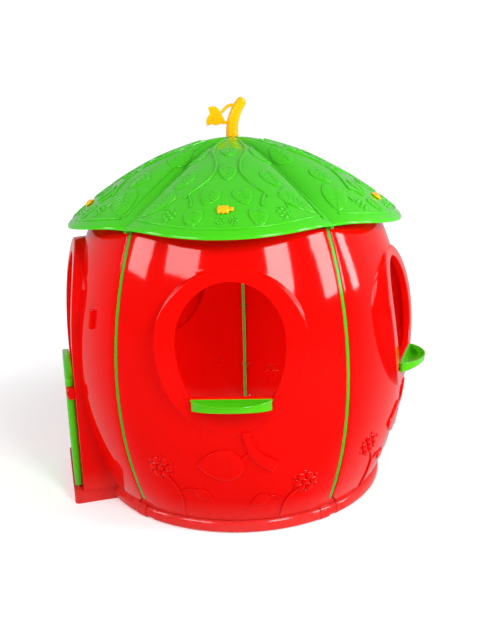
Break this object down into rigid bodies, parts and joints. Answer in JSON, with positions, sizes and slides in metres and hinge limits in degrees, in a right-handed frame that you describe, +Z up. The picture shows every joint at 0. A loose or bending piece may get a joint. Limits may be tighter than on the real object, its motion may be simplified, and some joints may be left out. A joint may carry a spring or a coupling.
{
  "type": "plastic playhouse",
  "caption": "Round fruit-shaped children's playhouse: curved wall panels, a half door, windows with trays and a roof of overlapping green petals with a stalk.",
  "frame": {"origin": "on the ground, on the round walls' own upright axis", "axes": "+Z up; the front window faces -Y, the right window faces 72 degrees round from it towards +X, and the door 72 degrees round towards -X"},
  "size_m": [1.5371, 1.4906, 1.5648],
  "materials": {
    "red_plastic": "glossy",
    "leaf_green_plastic": "glossy",
    "deep_green_plastic": "glossy",
    "yellow_plastic": "glossy",
    "steel": "zinc plated"
  },
  "bodies": {
    "house": {"base_rail_front": "red_plastic", "base_rail_right": "red_plastic", "base_rail_back_right": "red_plastic", "base_rail_back_left": "red_plastic", "base_rail_door": "red_plastic", "wall_panel_front": "red_plastic", "wall_panel_right": "red_plastic", "wall_panel_back_right": "red_plastic", "wall_panel_back_left": "red_plastic", "wall_panel_door": "red_plastic", "corner_strip_1": "deep_green_plastic", "corner_strip_2": "deep_green_plastic", "corner_strip_3": "deep_green_plastic", "corner_strip_4": "deep_green_plastic", "corner_strip_5": "deep_green_plastic", "roof_petal_front": "leaf_green_plastic", "roof_petal_right": "leaf_green_plastic", "roof_petal_back_right": "leaf_green_plastic", "roof_petal_back_left": "leaf_green_plastic", "roof_petal_door": "leaf_green_plastic", "roof_hub": "leaf_green_plastic", "stalk": "yellow_plastic", "stalk_nut": "yellow_plastic", "tray_front": "deep_green_plastic", "tray_right": "deep_green_plastic", "tray_screws": "steel", "hinge_bracket": "red_plastic", "bracket_screws": "steel", "panel_bolts": "steel", "panel_nuts": "steel", "roof_bolts": "steel", "roof_nuts": "steel"},
    "door": {"door_leaf": "deep_green_plastic", "hinge_pin_upper": "steel", "hinge_pin_lower": "steel"},
    "latch_front": {"roof_latch_front": "yellow_plastic"},
    "latch_right": {"roof_latch_right": "yellow_plastic"},
    "latch_back_right": {"roof_latch_back_right": "yellow_plastic"},
    "latch_back_left": {"roof_latch_back_left": "yellow_plastic"},
    "latch_door": {"roof_latch_door": "yellow_plastic"}
  },
  "joints": [
    {"name": "door_hinge", "type": "hinge", "parent": "house", "child": "door", "pos_m": [-0.64823, -0.32523, 0.28], "axis": [0, 0, 1], "range_deg": [0, 100]},
    {"name": "latch_front_turn", "type": "hinge", "parent": "house", "child": "latch_front", "pos_m": [0, -0.575, 1.1758], "axis": [0, -0.6008, 0.7994], "range_deg": [0, 90]},
    {"name": "latch_right_turn", "type": "hinge", "parent": "house", "child": "latch_right", "pos_m": [0.54686, -0.17769, 1.1758], "axis": [0.5714, -0.1857, 0.7994], "range_deg": [0, 90]},
    {"name": "latch_back_right_turn", "type": "hinge", "parent": "house", "child": "latch_back_right", "pos_m": [0.33798, 0.46519, 1.1758], "axis": [0.3531, 0.4861, 0.7994], "range_deg": [0, 90]},
    {"name": "latch_back_left_turn", "type": "hinge", "parent": "house", "child": "latch_back_left", "pos_m": [-0.33798, 0.46519, 1.1758], "axis": [-0.3531, 0.4861, 0.7994], "range_deg": [0, 90]},
    {"name": "latch_door_turn", "type": "hinge", "parent": "house", "child": "latch_door", "pos_m": [-0.54686, -0.17769, 1.1758], "axis": [-0.5714, -0.1857, 0.7994], "range_deg": [0, 90]}
  ]
}
